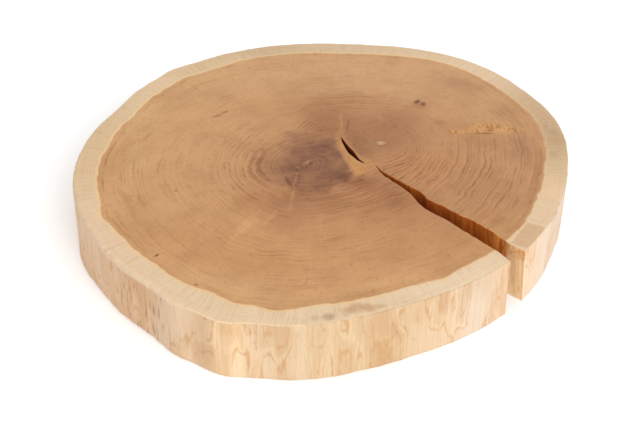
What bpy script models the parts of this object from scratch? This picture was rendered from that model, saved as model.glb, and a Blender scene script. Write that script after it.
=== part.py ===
"""A thick slice of a debarked oak trunk, lying flat.

It is one solid piece of wood. The trunk grew round two hearts that lie side by side,
so the outline is lobed and not round. While it dried, one crack opened through the
full thickness, from near the hearts out to the rim, and a short slit opened beside
the hearts. A narrow bridge of sound wood still lies between the two.

Units are metres and degrees, +Z is up, and the origin is the middle of the underside.
Bearings turn counter-clockwise from +X.
"""

import math

import bmesh
import bpy
from mathutils import Vector

# ---- Driving dimensions --------------------------------------------------------------

THICKNESS = 0.050
MEAN_RADIUS = 0.1945
EDGE_EASE = 0.0010
OUTLINE_STEPS = 120

# Swells (and hollows, where the height is negative) of the trunk's outline on the upper
# face: the bearing of the middle, the height and the spread in degrees.
SWELLS = (
    (20, 0.0099, 16),
    (47, 0.0143, 18),
    (66, 0.0051, 14),
    (112, 0.0042, 45),
    (132, 0.0031, 4),
    (155, -0.0040, 7),
    (183, 0.0016, 10),
    (239, 0.0059, 6),
    (249, 0.0073, 6),
    (262, 0.0084, 14),
    (302, -0.0130, 43),
    (343, -0.0020, 13),
)

# How much further out the foot of the side stands than its top, in the same form.
FOOT_SWELLS = (
    (200, 0.0026, 8),
    (341, -0.0015, 10),
)

# The crack and the slit are drawn from the slit's inner tip, along the bearing of the
# crack. Each station is the distance along it and the two walls' offsets to its left,
# which is towards the smaller block of wood.
CRACK_ORIGIN = Vector((0.0144, 0.0382))
CRACK_BEARING = -51.6
CRACK_LENGTH = 0.2003
CRACK_OVERRUN = 0.030

# The smaller block's wall leans away by this much at the rim, from top to underside.
CRACK_LEAN = 0.0045

SLIT_STATIONS = (
    (0.000, 0.0000, 0.0002),
    (0.007, -0.0039, -0.0020),
    (0.015, -0.0073, -0.0042),
    (0.023, -0.0098, -0.0054),
    (0.029, -0.0105, -0.0076),
    (0.035, -0.0108, -0.0090),
    (0.041, -0.0101, -0.0098),
)

CRACK_STATIONS = (
    (0.0485, -0.0042, -0.0040),
    (0.056, -0.0070, -0.0059),
    (0.066, -0.0085, -0.0052),
    (0.076, -0.0084, -0.0043),
    (0.088, -0.0082, -0.0032),
    (0.096, -0.0088, -0.0015),
    (0.102, -0.0104, -0.0018),
    (0.108, -0.0119, -0.0034),
    (0.116, -0.0127, -0.0022),
    (0.122, -0.0124, -0.0008),
    (0.131, -0.0112, 0.0005),
    (0.141, -0.0101, 0.0017),
    (0.151, -0.0099, 0.0041),
    (0.161, -0.0092, 0.0051),
    (0.171, -0.0088, 0.0058),
    (0.181, -0.0079, 0.0063),
    (0.191, -0.0076, 0.0072),
    (0.201, -0.0087, 0.0087),
)

# Bare oak, seen as one colour: the pale rim and the brown middle together.
OAK_COLOUR = (0.58, 0.33, 0.16, 1.0)
OAK_ROUGHNESS = 0.62

CUTTER_MARGIN = 0.004


# ---- Outline ---------------------------------------------------------------------------

def swell_sum(bearing, swells):
    """Height of a set of swells at one bearing."""
    total = 0.0
    for middle, height, spread in swells:
        apart = (bearing - middle + 180.0) % 360.0 - 180.0
        total += height * math.exp(-((apart / spread) ** 2))
    return total


def outline_radius(bearing, z):
    """Distance from the polar centre to the side, at one bearing and height."""
    top = MEAN_RADIUS + swell_sum(bearing, SWELLS)
    foot_share = 1.0 - z / THICKNESS
    return top + foot_share * swell_sum(bearing, FOOT_SWELLS)


def outline_ring(z, inset):
    """One ring of points round the side, moved in by an inset."""
    ring = []
    for step in range(OUTLINE_STEPS):
        bearing = 360.0 * step / OUTLINE_STEPS
        radius = outline_radius(bearing, z) - inset
        angle = math.radians(bearing)
        ring.append(Vector((radius * math.cos(angle), radius * math.sin(angle), z)))
    return ring


# ---- Mesh helpers ----------------------------------------------------------------------

def bridged_mesh(name, rings):
    """A closed mesh through rings of equal length, lowest first, capped at both ends."""
    shell = bmesh.new()
    rows = [[shell.verts.new(point) for point in ring] for ring in rings]
    for lower, upper in zip(rows, rows[1:]):
        for step in range(len(lower)):
            after = (step + 1) % len(lower)
            shell.faces.new((lower[step], lower[after], upper[after], upper[step]))
    shell.faces.new(list(reversed(rows[0])))
    shell.faces.new(rows[-1])
    bmesh.ops.recalc_face_normals(shell, faces=shell.faces)
    mesh = bpy.data.meshes.new(name)
    shell.to_mesh(mesh)
    shell.free()
    return mesh


def add_object(name, mesh):
    """Put a mesh in the scene under its own name."""
    thing = bpy.data.objects.new(name, mesh)
    bpy.context.scene.collection.objects.link(thing)
    return thing


# ---- The trunk slice -------------------------------------------------------------------

def make_slice():
    """The uncracked slice: a lobed disc whose two edges are eased."""
    rings = [
        outline_ring(0.0, EDGE_EASE),
        outline_ring(EDGE_EASE, 0.0),
        outline_ring(THICKNESS - EDGE_EASE, 0.0),
        outline_ring(THICKNESS, EDGE_EASE),
    ]
    return add_object("wood_slice", bridged_mesh("wood_slice", rings))


# ---- Crack and slit --------------------------------------------------------------------

def crack_point(along, offset, z):
    """A point beside the crack's line, given along it and to its left."""
    angle = math.radians(CRACK_BEARING)
    ahead = Vector((math.cos(angle), math.sin(angle)))
    aside = Vector((-ahead.y, ahead.x))
    place = CRACK_ORIGIN + along * ahead + offset * aside
    return Vector((place.x, place.y, z))


def opening_ring(stations, z):
    """The outline of an opening at one height: down its right wall and back by its left."""
    lean = CRACK_LEAN * (1.0 - z / THICKNESS)
    right_wall = [crack_point(along, right, z) for along, right, _ in stations]
    left_wall = [
        crack_point(along, left + lean * along / CRACK_LENGTH, z)
        for along, _, left in stations
    ]
    return right_wall + left_wall[::-1]


def make_cutter(name, stations):
    """A solid that is taller than the slice and as wide as the opening."""
    rings = [
        opening_ring(stations, -CUTTER_MARGIN),
        opening_ring(stations, THICKNESS + CUTTER_MARGIN),
    ]
    cutter = add_object(name, bridged_mesh(name, rings))
    cutter.hide_render = True
    cutter.display_type = "WIRE"
    return cutter


def past_the_rim(stations):
    """The stations with one more, beyond the rim, so that the crack opens outwards."""
    along, right, left = stations[-1]
    return stations + ((along + CRACK_OVERRUN, right, left),)


def cut(body, cutter):
    """Take a cutter away from the body."""
    boolean = body.modifiers.new(cutter.name, "BOOLEAN")
    boolean.operation = "DIFFERENCE"
    boolean.solver = "EXACT"
    boolean.object = cutter


# ---- Finish and placing ----------------------------------------------------------------

def oak_material():
    """Bare sanded oak."""
    oak = bpy.data.materials.new("oak")
    oak.use_nodes = True
    shader = oak.node_tree.nodes["Principled BSDF"]
    shader.inputs["Base Color"].default_value = OAK_COLOUR
    shader.inputs["Roughness"].default_value = OAK_ROUGHNESS
    shader.inputs["Metallic"].default_value = 0.0
    return oak


def box_centre(mesh):
    """The middle of a mesh's box, seen from above."""
    xs = [vertex.co.x for vertex in mesh.vertices]
    ys = [vertex.co.y for vertex in mesh.vertices]
    return Vector(((min(xs) + max(xs)) / 2.0, (min(ys) + max(ys)) / 2.0, 0.0))


def main():
    for thing in list(bpy.data.objects):
        bpy.data.objects.remove(thing, do_unlink=True)
    body = make_slice()
    body.data.materials.append(oak_material())
    crack = make_cutter("crack_cutter", past_the_rim(CRACK_STATIONS))
    slit = make_cutter("slit_cutter", SLIT_STATIONS)
    centre = box_centre(body.data)
    for thing in (body, crack, slit):
        thing.location = -centre
    cut(body, crack)
    cut(body, slit)


main()
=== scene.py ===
# %% [markdown]
# # A thick oak slice, finished in Blender
#
# The object is one slice sawn across a debarked oak trunk and sanded flat. The trunk grew
# round two hearts, so its outline is lobed. While it dried, a crack opened from beside the
# hearts out to the rim, and a short slit opened next to it.
#
# The imported model holds the right size and the right openings, but it is smooth. Here one
# finer mesh takes its place: torn crack walls, a hand-peeled side and fine surface checks
# are real geometry, and rings, rays, stains and pores are painted by shader nodes.
# The first cell loads the imported model and keeps its box.

import itertools
import math
from types import SimpleNamespace

import bpy
import numpy as np
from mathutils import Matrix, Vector
from mathutils.geometry import delaunay_2d_cdt
from mathutils.kdtree import KDTree


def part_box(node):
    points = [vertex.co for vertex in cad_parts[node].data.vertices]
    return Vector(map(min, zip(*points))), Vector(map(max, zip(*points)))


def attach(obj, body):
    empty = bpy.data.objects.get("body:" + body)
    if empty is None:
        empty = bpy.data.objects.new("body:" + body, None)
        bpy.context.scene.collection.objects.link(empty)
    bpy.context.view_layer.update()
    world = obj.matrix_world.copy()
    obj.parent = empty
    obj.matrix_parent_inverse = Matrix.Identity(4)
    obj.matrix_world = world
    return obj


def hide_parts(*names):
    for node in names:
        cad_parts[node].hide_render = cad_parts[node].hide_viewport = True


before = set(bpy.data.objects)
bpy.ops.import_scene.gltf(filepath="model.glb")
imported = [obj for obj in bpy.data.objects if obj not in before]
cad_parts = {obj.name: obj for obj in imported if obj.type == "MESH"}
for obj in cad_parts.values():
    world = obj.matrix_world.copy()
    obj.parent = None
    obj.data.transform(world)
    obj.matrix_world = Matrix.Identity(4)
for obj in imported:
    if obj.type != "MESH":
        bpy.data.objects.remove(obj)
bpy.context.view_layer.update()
NODE = "wood_slice"
MM = 0.001
low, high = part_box(NODE)
THICK = (high.z - low.z) / MM
print("packed slice, mm:", [round((b - a) / MM, 2) for a, b in zip(low, high)])

# %% [markdown]
# ## Camera
#
# The camera looks down at 36 degrees from 1.04 m away, with a long lens, which keeps the
# far rim from shrinking much. It is placed first, so every later step can be judged from
# the right spot.

# %% Camera
CAMERA_PLACE = (-0.00309, -0.84083, 0.61130)
CAMERA_TILT = 54.0
LENS, SENSOR = 71.66, 36.0

camera_data = bpy.data.cameras.new("camera")
camera_data.lens = LENS
camera_data.sensor_width = SENSOR
camera = bpy.data.objects.new("camera", camera_data)
camera.location = CAMERA_PLACE
camera.rotation_euler = (math.radians(CAMERA_TILT), 0.0, 0.0)
bpy.context.scene.collection.objects.link(camera)
bpy.context.scene.camera = camera
print("camera at", CAMERA_PLACE)

# %% [markdown]
# ## Random hills
#
# Wood is never even, so most steps below need gentle random heights. Blender's own noise
# module gives one value for one point, which is slow for a hundred thousand points. This
# helper gives a whole array at once: random numbers on a grid, eased in between. The seed
# fixes the numbers, so each run makes the same slice.

# %% Random hills on a grid
# Three large primes spread the grid's corners evenly over the table of random numbers.
HASH = np.array((73856093, 19349663, 83492791))
TABLE = 8192


def hills(points, cell, seed):
    """Smooth random heights from -1 to 1, about one `cell` apart."""
    values = np.random.default_rng(seed).uniform(-1.0, 1.0, TABLE)
    scaled = np.asarray(points, float) / np.asarray(cell, float)
    base = np.floor(scaled).astype(np.int64)
    part = scaled - base
    ease = part * part * (3.0 - 2.0 * part)
    total = 0.0
    for corner in itertools.product((0, 1), repeat=scaled.shape[-1]):
        share = np.where(np.array(corner), ease, 1.0 - ease).prod(-1)
        key = ((base + corner) * HASH[:len(corner)]).sum(-1)
        total = total + share * values[key % TABLE]
    return total


def rise(value, start, end):
    """0 below start, 1 above end, and eased in between."""
    part = np.clip((value - start) / (end - start), 0.0, 1.0)
    return part * part * (3.0 - 2.0 * part)


print("hills:", np.round(hills([[0.2, 0.7], [3.1, 4.2]], 1.0, 1), 3))

# %% [markdown]
# ## The trunk's outline
#
# A trunk's outline is a circle with swells where roots and branches pushed it out. So the
# radius is written as a mean radius and a sum of soft swells, each with a bearing, a height
# and a spread. All plan measures from here on are millimetres from the trunk's own middle,
# and `MIDDLE` says where that middle lies in the model's frame. Bearings are degrees,
# counter-clockwise from +X.

# %% Outline of the trunk
MEAN_RADIUS = 194.5
SWELLS = (
    (20, 9.9, 16), (47, 14.3, 18), (66, 5.1, 14), (112, 4.2, 45), (132, 3.1, 4),
    (155, -4.0, 7), (183, 1.6, 10), (239, 5.9, 6), (249, 7.3, 6), (262, 8.4, 14),
    (302, -13.0, 43), (343, -2.0, 13),
)
FOOT_SWELLS = ((200, 2.6, 8), (341, -1.5, 10))


def swell_sum(bearing, swells):
    """Height of a set of (bearing, height, spread) swells at each bearing."""
    total = np.zeros_like(np.asarray(bearing, float))
    for middle, height, spread in swells:
        apart = (bearing - middle + 180.0) % 360.0 - 180.0
        total += height * np.exp(-((apart / spread) ** 2))
    return total


def rim_radius(bearing, z):
    """Distance from the middle to the side."""
    foot = (1.0 - z / THICK) * swell_sum(bearing, FOOT_SWELLS)
    return MEAN_RADIUS + swell_sum(bearing, SWELLS) + foot


def bearing_of(points):
    """The bearing of each plan point, 0 to 360."""
    return np.degrees(np.arctan2(points[..., 1], points[..., 0])) % 360.0


AROUND_STEP = 0.25
around = np.arange(0.0, 360.0, AROUND_STEP)
spokes = np.stack([np.cos(np.radians(around)), np.sin(np.radians(around))], -1)
foot_line = spokes * rim_radius(around, 0.0)[:, None]
MIDDLE = -(foot_line.min(0) + foot_line.max(0)) / 2.0
print("middle of the trunk in the model's frame, mm:", np.round(MIDDLE, 2))

# %% [markdown]
# ## The crack and the slit
#
# A drying crack follows the rays, from the heart outwards, and its two walls once fitted
# together. So both walls take the same small jags: where one bulges the other gives way.
# Each wall is a smooth line through stations, measured along the crack's bearing and to
# its left. The smaller block leans away a little towards the underside.

# %% Walls of the crack and of the slit
CRACK_START = np.array((14.4, 38.2))
CRACK_BEARING = math.radians(-51.6)
AHEAD = np.array((math.cos(CRACK_BEARING), math.sin(CRACK_BEARING)))
ASIDE = np.array((-AHEAD[1], AHEAD[0]))
CRACK_LENGTH, CRACK_LEAN = 200.3, 4.5

# Distance along, offset of the big block's wall, offset of the small block's wall.
SLIT = (
    (0.0, 0.0, 0.2), (7.0, -3.9, -2.0), (15.0, -7.3, -4.2), (23.0, -9.8, -5.4),
    (29.0, -10.5, -7.6), (35.0, -10.8, -9.0), (41.0, -10.1, -9.8),
)
CRACK = (
    (48.5, -4.2, -4.0), (56.0, -7.0, -5.9), (66.0, -8.5, -5.2), (76.0, -8.4, -4.3),
    (88.0, -8.2, -3.2), (96.0, -8.8, -1.5), (102.0, -10.4, -1.8), (108.0, -11.9, -3.4),
    (116.0, -12.7, -2.2), (122.0, -12.4, -0.8), (131.0, -11.2, 0.5), (141.0, -10.1, 1.7),
    (151.0, -9.9, 4.1), (161.0, -9.2, 5.1), (171.0, -8.8, 5.8), (181.0, -7.9, 6.3),
    (191.0, -7.6, 7.2), (201.0, -8.7, 8.7), (215.0, -8.7, 8.7),
)
BIG, SMALL = 1, 2
MOUTH_SEARCH, HALVINGS = (165.0, 213.0), 30


def through(stations, column, along):
    """A smooth line through one column of the stations."""
    table = np.array(stations)
    knots, values = table[:, 0], table[:, column]
    slopes = np.gradient(values, knots)
    i = np.clip(np.searchsorted(knots, along) - 1, 0, len(knots) - 2)
    span = knots[i + 1] - knots[i]
    t = (along - knots[i]) / span
    return (values[i] * (1 + 2 * t) * (1 - t) ** 2 + slopes[i] * span * t * (1 - t) ** 2
            + values[i + 1] * t * t * (3 - 2 * t) - slopes[i + 1] * span * t * t * (1 - t))


def wall_place(stations, side, along, z):
    """Plan point of a wall, jags included."""
    offset = through(stations, side, along)
    spot = np.stack(np.broadcast_arrays(along, z), -1)
    jag = 0.24 * hills(spot, (4.3, 60.0), 11) + 0.13 * hills(spot, (1.7, 22.0), 12)
    if side == SMALL:
        offset = offset + CRACK_LEAN * (1.0 - z / THICK) * along / CRACK_LENGTH
    offset = offset + jag * rise(along, 0.0, 8.0)
    return CRACK_START + along[..., None] * AHEAD + offset[..., None] * ASIDE


def mouth(side, z):
    """How far along the crack each wall meets the rim, found by halving."""
    near, far = np.full_like(z, MOUTH_SEARCH[0]), np.full_like(z, MOUTH_SEARCH[1])
    for _ in range(HALVINGS):
        half = (near + far) / 2.0
        point = wall_place(CRACK, side, half, z)
        inside = np.hypot(point[:, 0], point[:, 1]) < rim_radius(bearing_of(point), z)
        near, far = np.where(inside, half, near), np.where(inside, far, half)
    return near


ends = [mouth(side, np.array([THICK]))[0] for side in (BIG, SMALL)]
print("crack meets the rim at, mm along:", np.round(ends, 1))

# %% [markdown]
# ## Side and walls as one ribbon
#
# The side, the big block's wall and the small block's wall make one closed path in plan:
# once round the rim, in along one wall and back out along the other. Points on that path,
# stacked in rows from the underside to the top, give one neat ribbon of quads. A boolean
# would leave long thin faces here, and those can't take a relief.
#
# Each row is moved in by a small ease at the two edges, as sandpaper leaves them, and out
# or in by a relief. At the front left the upper edge is worn, so its ease is wider there
# and ragged. The side's relief is broad flutes and flat facets from the peeling knife. The
# walls' relief is torn fibre, long up and down and short across.

# %% Paths in plan
RIM_COLUMNS, WALL_COLUMNS, SLIT_COLUMNS = 900, 118, 44
EASE_STEPS, MIDDLE_ROWS = 4, 24
RIM_EASE, WALL_EASE, SLIT_EASE = 0.9, 0.4, 0.3
WORN_EASE, WORN_BEARING, WORN_SPREAD = 2.4, 212.0, 34.0
# How worn the edge has to be before each row below the top shows end grain.
WORN_STARTS = (0.02, 0.08, 0.25, 0.5, 2.0)
CRACK_TIP, SLIT_END = CRACK[0][0], SLIT[-1][0]


def row_heights(ease):
    """Heights and insets of the rows, for an array of edge eases."""
    turn = np.linspace(0.0, math.pi / 2.0, EASE_STEPS + 1)[:, None]
    foot_z, foot_in = ease * (1 - np.cos(turn)), ease * (1 - np.sin(turn))
    share = np.linspace(0.0, 1.0, MIDDLE_ROWS + 2)[1:-1, None]
    heights = np.concatenate([foot_z, ease + share * (THICK - 2 * ease), THICK - foot_z[::-1]])
    insets = np.concatenate([foot_in, 0 * share * ease, foot_in[::-1]])
    return heights, insets


def crack_ring(z):
    """One row of the ribbon: rim, big block's wall, small block's wall."""
    flat = np.full(1, z)
    big_end, small_end = mouth(BIG, flat)[0], mouth(SMALL, flat)[0]
    share = np.linspace(0.0, 1.0, WALL_COLUMNS)
    big = wall_place(CRACK, BIG, big_end + (CRACK_TIP - big_end) * share, z)
    small = wall_place(CRACK, SMALL, CRACK_TIP + (small_end - CRACK_TIP) * share, z)
    first, last = bearing_of(small[-1]) - 360.0, bearing_of(big[0])
    bearings = np.linspace(first, last, RIM_COLUMNS + 2)[1:-1]
    reach = rim_radius(bearings, z)[:, None]
    turn = np.radians(bearings)
    rim = np.stack([np.cos(turn), np.sin(turn)], -1) * reach
    return np.concatenate([rim, big, small])


def slit_ring(z):
    """One row of the slit: out along one wall and back along the other."""
    share = np.linspace(0.0, 1.0, SLIT_COLUMNS)
    out = wall_place(SLIT, SMALL, SLIT_END * share, z)
    back = wall_place(SLIT, BIG, SLIT_END * share[::-1], z)
    return np.concatenate([out, back])


def outward(ring):
    """The direction out of the wood at each point of a closed ring."""
    along = np.roll(ring, -1, axis=-2) - np.roll(ring, 1, axis=-2)
    out = np.stack([along[..., 1], -along[..., 0]], -1)
    return out / np.maximum(np.linalg.norm(out, axis=-1, keepdims=True), 1e-9)


columns = RIM_COLUMNS + 2 * WALL_COLUMNS
top_ring = crack_ring(THICK)
steps = np.linalg.norm(np.roll(top_ring, -1, 0) - top_ring, axis=1)
run = np.concatenate([[0.0], np.cumsum(steps)])
print("path:", columns, "columns,", round(run[-1]), "mm round")

# %% Rows with their eased edges and relief
kind = np.repeat((0, 1, 2), (RIM_COLUMNS, WALL_COLUMNS, WALL_COLUMNS))
rim_length = run[RIM_COLUMNS]
from_corner = np.minimum(run[:-1], rim_length - run[:-1])
from_tip = np.abs(run[:-1] - run[RIM_COLUMNS + WALL_COLUMNS])
spot = run[:-1, None]
worn = np.exp(-((bearing_of(top_ring) - WORN_BEARING) / WORN_SPREAD) ** 2)
rim_ease = RIM_EASE * (1.0 + 0.35 * hills(spot, 9.0, 21) + 0.15 * hills(spot, 2.9, 22))
chipped = 1.0 + 0.45 * hills(spot, 6.0, 24) + 0.3 * hills(spot, 2.1, 25)
rim_ease = rim_ease + WORN_EASE * worn * chipped
wall_ease = WALL_EASE * (1.0 + 0.5 * hills(spot, 2.4, 23))
wall_ease = wall_ease * (0.3 + 0.7 * rise(from_tip, 2.0, 16.0))
ease = np.where(kind == 0, rim_ease, wall_ease)


def peeled_patches(run_at, z):
    """A slow height that is above zero where a patch of bast was left on the side."""
    where = np.stack([run_at, z], -1)
    sway = [2.0 * hills(where, (12.0, 22.0), 30), 9.0 * hills(where, 23.0, 31)]
    warped = where + np.stack(sway, -1)
    return hills(warped, (10.5, 46.0), 34) + 0.16 * hills(warped, (3.7, 15.0), 36)


def side_relief(run_at, z):
    """Flutes, knife facets and small ridges on the peeled side."""
    where = np.stack([run_at, z], -1)
    flutes = 0.55 * hills(where, (27.0, 150.0), 32) + 0.16 * hills(where, (9.0, 70.0), 33)
    patches = 0.22 * rise(peeled_patches(run_at, z), -0.08, 0.12)
    threads = 0.06 * hills(where, (2.7, 24.0), 35)
    return flutes + patches + threads


def wall_relief(run_at, z):
    """Torn fibre on the walls of a crack, and a broken ledge where it opens to the rim."""
    where = np.stack([run_at, z], -1)
    fibre = 0.14 * hills(where, (2.1, 30.0), 41) + 0.09 * hills(where, (1.3, 9.0), 42)
    fibre = fibre + 0.20 * rise(hills(where, (9.0, 34.0), 43), 0.1, 0.35)
    ragged = z + 2.2 * hills(where, (5.0, 60.0), 44) + 0.8 * hills(where, (1.8, 60.0), 45)
    near_mouth = rise(run_at, run[-1] - 34.0, run[-1] - 22.0)
    ledge = 0.5 * rise(ragged, 40.5, 42.0) + 0.5 * rise(ragged, 45.0, 46.5)
    return fibre + near_mouth * ledge


heights, insets = row_heights(ease[None, :])
rows = np.array([crack_ring(float(np.clip(row.mean(), 0.0, THICK))) for row in heights])
run_grid = np.broadcast_to(run[:-1], heights.shape)
relief = np.where(kind == 0, side_relief(run_grid, heights) * rise(from_corner, 0.0, 7.0),
                  wall_relief(run_grid, heights) * rise(from_tip, 1.0, 14.0))
rows = rows + outward(rows) * (relief - insets)[..., None]

slit_columns = 2 * SLIT_COLUMNS
slit_heights, slit_insets = row_heights(np.full((1, slit_columns), SLIT_EASE))
slit_rows = np.array([slit_ring(float(z)) for z in slit_heights[:, 0]])
slit_rows = slit_rows - outward(slit_rows) * slit_insets[..., None]
print("ribbon:", rows.shape[:2], "slit:", slit_rows.shape[:2])

# %% [markdown]
# ## Surface checks
#
# A dry slice shows hairline checks: shallow splits that don't reach through. The ones here
# run through the left heart. Each is a path of points, given a little wander, and pressed
# into the top as a V-shaped groove. Grooves in the mesh catch the light from any side,
# which a painted line doesn't.

# %% Paths of the checks
# Points in plan, half width and depth of each check.
CHECKS = (
    (((-8.0, 5.0), (-14.0, -1.0), (-20.0, -5.0), (-20.5, -17.0), (-22.0, -28.0),
      (-23.0, -40.0), (-25.0, -57.0)), 0.30, 0.35),
    (((-5.0, 8.0), (-2.0, 12.5), (1.0, 18.0)), 0.22, 0.35),
    (((-123.0, 133.0), (-117.0, 125.0), (-111.0, 118.0), (-105.0, 110.0)), 0.22, 0.35),
    (((-25.0, -9.0), (-30.0, -12.0), (-35.0, -17.0)), 0.22, 0.30),
)
CHECK_STEP, FIRST_CHECK_SEED = 0.9, 50


def check_path(points, seed):
    """Evenly spaced points along a check, with its wander."""
    points = np.array(points)
    pieces = np.linalg.norm(np.diff(points, axis=0), axis=1)
    lengths = np.concatenate([[0.0], np.cumsum(pieces)])
    at = np.arange(0.0, lengths[-1], CHECK_STEP)
    line = np.stack([np.interp(at, lengths, points[:, k]) for k in (0, 1)], -1)
    sway = 0.8 * hills(at[:, None], 5.0, seed) + 0.35 * hills(at[:, None], 1.9, seed + 1)
    sway = sway * rise(at, 0.0, 4.0)
    return line + outward(line) * sway[:, None], at / lengths[-1]


check_points, check_depths, check_links = [], [], []
for number, (points, half_width, depth) in enumerate(CHECKS):
    line, share = check_path(points, FIRST_CHECK_SEED + 2 * number)
    across = np.stack([np.gradient(line[:, 1]), -np.gradient(line[:, 0])], -1)
    across /= np.linalg.norm(across, axis=1, keepdims=True)
    taper = np.sqrt(np.clip(4.0 * share * (1.0 - share), 0.02, 1.0))
    for lane in (-1, 0, 1):
        start = sum(len(block) for block in check_points)
        check_points.append(line + lane * half_width * across * taper[:, None])
        check_depths.append(-depth * taper if lane == 0 else 0.0 * taper)
        check_links += [(start + k, start + k + 1) for k in range(len(line) - 1)]
check_points = np.concatenate(check_points)
check_depths = np.concatenate(check_depths)
print("checks:", len(CHECKS), "grooves,", len(check_points), "points")

# %% [markdown]
# ## Top and underside
#
# Each flat face is filled with a Delaunay mesh: it takes the ribbon's own edge points, the
# slit's, and the checks', and joins them with even triangles. An n-gon would hold no inner
# points at all, and the top needs them for its checks and faint sanding waves. Triangles
# that fall in the crack or beyond a hollow of the rim are left out.

# %% Fill a face
TOP_SPACING, FOOT_SPACING = 2.05, 3.6
GRID_HALF, GRID_LOOSENESS = 230.0, 0.16
ROW_SHARE = 0.866
BLOCKS = 60


def inside_loop(points, loop):
    """Which points lie inside a closed loop, by counting crossings."""
    after = np.roll(loop, -1, axis=0)
    px, py = points[:, None, 0], points[:, None, 1]
    spans = (loop[:, 1] > py) != (after[:, 1] > py)
    rise_y = np.where(after[:, 1] == loop[:, 1], 1e-9, after[:, 1] - loop[:, 1])
    cross = loop[:, 0] + (py - loop[:, 1]) / rise_y * (after[:, 0] - loop[:, 0])
    return (spans & (px < cross)).sum(1) % 2 == 1


def face_fill(rim, hole, spacing, extra, extra_links, seed):
    """Inner points and triangles of a face: rim, hole and extra come first, then the rest."""
    fixed = np.concatenate([rim, hole, extra])
    n_rim, n_hole = len(rim), len(hole)
    grid = np.arange(-GRID_HALF, GRID_HALF, spacing)
    gx, gy = np.meshgrid(grid, np.arange(-GRID_HALF, GRID_HALF, spacing * ROW_SHARE))
    gx[1::2] += spacing / 2.0
    inner = np.stack([gx.ravel(), gy.ravel()], -1)
    random = np.random.default_rng(seed)
    inner += random.uniform(-GRID_LOOSENESS, GRID_LOOSENESS, inner.shape) * spacing
    reach = np.hypot(inner[:, 0], inner[:, 1])
    inner = inner[reach < rim_radius(bearing_of(inner), THICK) + 2.0]
    # In blocks, because each block is compared with the whole loop at once.
    kept = [block[inside_loop(block, rim) & ~inside_loop(block, hole)]
            for block in np.array_split(inner, BLOCKS)]
    inner = np.concatenate(kept)
    tree = KDTree(len(fixed))
    for index, (x, y) in enumerate(fixed):
        tree.insert((x, y, 0.0), index)
    tree.balance()
    apart = np.array([tree.find((x, y, 0.0))[2] for x, y in inner])
    inner = inner[apart > spacing * 0.55]
    points = np.concatenate([fixed, inner])
    links = [(k, (k + 1) % n_rim) for k in range(n_rim)]
    links += [(n_rim + k, n_rim + (k + 1) % n_hole) for k in range(n_hole)]
    links += [(n_rim + n_hole + a, n_rim + n_hole + b) for a, b in extra_links]
    flat = [Vector((x, y)) for x, y in points]
    done = delaunay_2d_cdt(flat, links, [], 0, 1e-6)
    if len(done[0]) != len(points):
        raise RuntimeError("the face's points were merged")
    tris = np.array(done[2])
    edge_only = (tris < n_rim + n_hole).all(1)
    centres = points[tris[edge_only]].mean(1)
    wanted = np.ones(len(tris), bool)
    wanted[edge_only] = inside_loop(centres, rim) & ~inside_loop(centres, hole)
    return points, tris[wanted]


no_extra = np.zeros((0, 2))
top_points, top_tris = face_fill(rows[-1], slit_rows[-1], TOP_SPACING,
                                 check_points, check_links, 61)
foot_points, foot_tris = face_fill(rows[0], slit_rows[0], FOOT_SPACING, no_extra, [], 62)
print("top:", len(top_tris), "triangles; underside:", len(foot_tris))

# %% [markdown]
# ## One mesh from all parts
#
# The ribbon, the slit and the two faces share their edge points, so the slice is one closed
# mesh. Building it from arrays is quick and keeps the order of the faces, which the UV map
# and the material numbers then use.

# %% Join the parts
END_GRAIN, SIDE, SPLIT = 0, 1, 2
SHARP_FROM = 38.0


def ribbon_faces(row_count, column_count, start):
    """Quads between the rows of a closed ribbon, facing out."""
    row, column = np.meshgrid(np.arange(row_count - 1), np.arange(column_count), indexing="ij")
    after = (column + 1) % column_count
    quads = np.stack([row * column_count + column, row * column_count + after,
                      (row + 1) * column_count + after, (row + 1) * column_count + column], -1)
    return start + quads.reshape(-1, 4)


def lifted(points, height):
    """Plan points with a height added."""
    return np.concatenate([points, np.broadcast_to(height, len(points))[:, None]], 1)


row_count = len(rows)
ribbon = np.concatenate([rows, heights[..., None]], -1).reshape(-1, 3)
slit_grid = np.broadcast_to(slit_heights[..., None], slit_rows.shape[:2] + (1,))
slit_band = np.concatenate([slit_rows, slit_grid], -1).reshape(-1, 3)

n_edge = columns + slit_columns
top_inner = top_points[n_edge:]
wave = 0.07 * hills(top_inner, 31.0, 71) + 0.03 * hills(top_inner, 8.0, 72)
from_rim = rim_radius(bearing_of(top_inner), THICK) - np.hypot(*top_inner.T)
top_z = THICK + wave * rise(from_rim, 2.0, 9.0)
top_z[:len(check_points)] += check_depths
top_new = lifted(top_inner, top_z)
foot_new = lifted(foot_points[n_edge:], 0.0)

slit_start = len(ribbon)
top_start = slit_start + len(slit_band)
foot_start = top_start + len(top_new)
vertices = np.concatenate([ribbon, slit_band, top_new, foot_new])
last_row = (row_count - 1) * columns
last_slit = slit_start + (row_count - 1) * slit_columns
top_index = np.concatenate([last_row + np.arange(columns), last_slit + np.arange(slit_columns),
                            top_start + np.arange(len(top_new))])
foot_index = np.concatenate([np.arange(columns), slit_start + np.arange(slit_columns),
                             foot_start + np.arange(len(foot_new))])
ribbon_quads = ribbon_faces(row_count, columns, 0)
slit_quads = ribbon_faces(row_count, slit_columns, slit_start)
top_faces = top_index[top_tris]
foot_faces = foot_index[foot_tris[:, ::-1]]

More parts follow.
